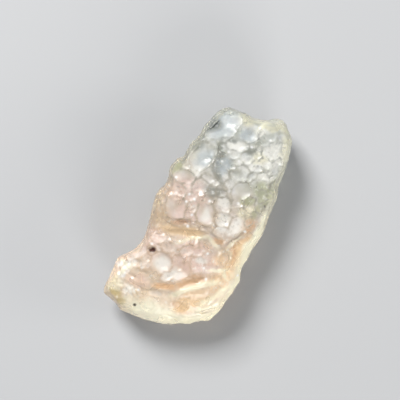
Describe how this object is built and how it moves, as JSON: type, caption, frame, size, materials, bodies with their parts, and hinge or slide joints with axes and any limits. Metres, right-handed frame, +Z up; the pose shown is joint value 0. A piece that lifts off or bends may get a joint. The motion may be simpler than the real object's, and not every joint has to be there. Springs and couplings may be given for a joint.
{
  "type": "libyan desert glass",
  "caption": "Loose piece of natural desert glass, pale and see-through, long and narrow, its upper face etched into rounded cups.",
  "frame": {"origin": "on the surface that the piece lies on, under the middle of its bounding box", "axes": "+Y along the piece towards its narrower head, +Z up, out of the etched face"},
  "size_m": [0.0236, 0.0482, 0.0124],
  "materials": {
    "desert_glass": "translucent pale straw yellow, frosted in the cups and polished on the ridges and the edge"
  },
  "bodies": {
    "root": {"libyan_desert_glass": "desert_glass"}
  },
  "joints": []
}
